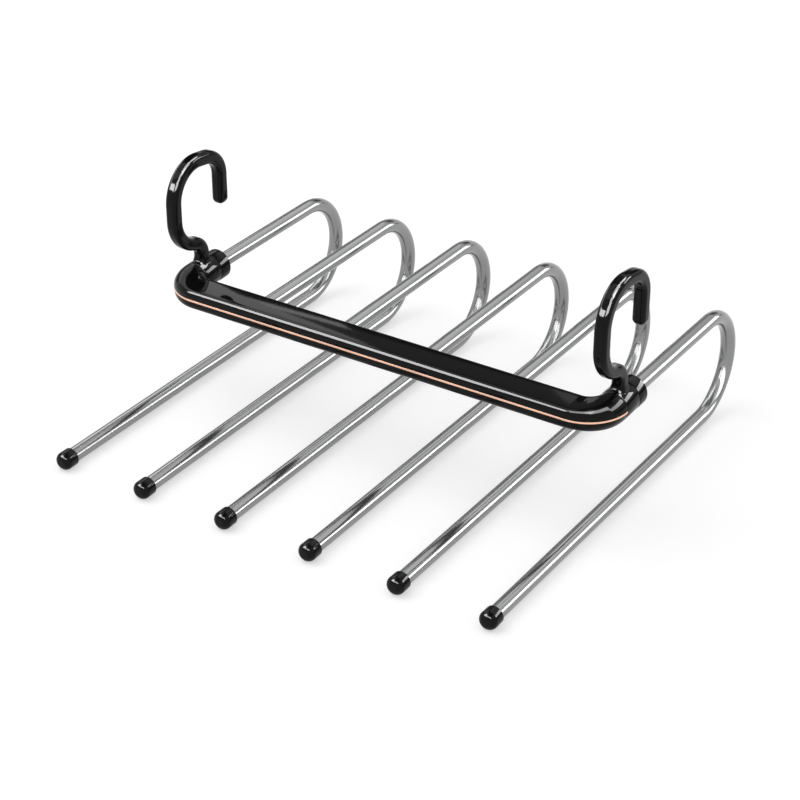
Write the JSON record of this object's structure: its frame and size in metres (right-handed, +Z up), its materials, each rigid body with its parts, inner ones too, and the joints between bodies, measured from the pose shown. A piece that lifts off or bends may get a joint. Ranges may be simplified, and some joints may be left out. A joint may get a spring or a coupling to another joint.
{
  "type": "trouser rack",
  "caption": "Trouser rack: a row of U-bent steel tubes under a C-shaped moulded bar, with a swan-neck hook at each end that turns outward to hang the rack level or on end.",
  "frame": {"origin": "middle of the box's bottom face, on the plane the tip caps rest on", "axes": "+X along the bar from the left hook to the right hook, +Y from the capped tips to the bends, +Z up"},
  "size_m": [0.3306, 0.3095, 0.1613],
  "materials": {
    "black_plastic": "gloss black moulded ABS",
    "cap_plastic": "gloss black soft vinyl",
    "stainless_steel": "polished stainless steel tube with a fine lengthwise grain",
    "rose_gold": "rose gold anodised strip",
    "zinc_plated_steel": "zinc plated",
    "washer_rubber": "matt rubber"
  },
  "bodies": {
    "rack": {"bar_upper_shell": "black_plastic", "bar_lower_shell": "black_plastic", "accent_strip": "rose_gold", "end_ring_left": "black_plastic", "end_ring_right": "black_plastic", "friction_washer_left": "washer_rubber", "friction_washer_right": "washer_rubber", "arm_1": "stainless_steel", "arm_2": "stainless_steel", "arm_3": "stainless_steel", "arm_4": "stainless_steel", "arm_5": "stainless_steel", "arm_6": "stainless_steel", "tip_cap_1": "cap_plastic", "tip_cap_2": "cap_plastic", "tip_cap_3": "cap_plastic", "tip_cap_4": "cap_plastic", "tip_cap_5": "cap_plastic", "tip_cap_6": "cap_plastic", "shell_screw_1": "zinc_plated_steel", "shell_screw_2": "zinc_plated_steel", "shell_screw_3": "zinc_plated_steel", "shell_screw_4": "zinc_plated_steel", "shell_screw_5": "zinc_plated_steel"},
    "left_hook": {"hook_left": "black_plastic"},
    "right_hook": {"hook_right": "black_plastic"}
  },
  "joints": [
    {"name": "left_hook_turn", "type": "hinge", "parent": "rack", "child": "left_hook", "pos_m": [-0.155, -0.00453, 0.0757], "axis": [0, -1, 0], "range_deg": [0, 90]},
    {"name": "right_hook_turn", "type": "hinge", "parent": "rack", "child": "right_hook", "pos_m": [0.155, -0.00453, 0.0757], "axis": [0, 1, 0], "range_deg": [0, 90]}
  ]
}
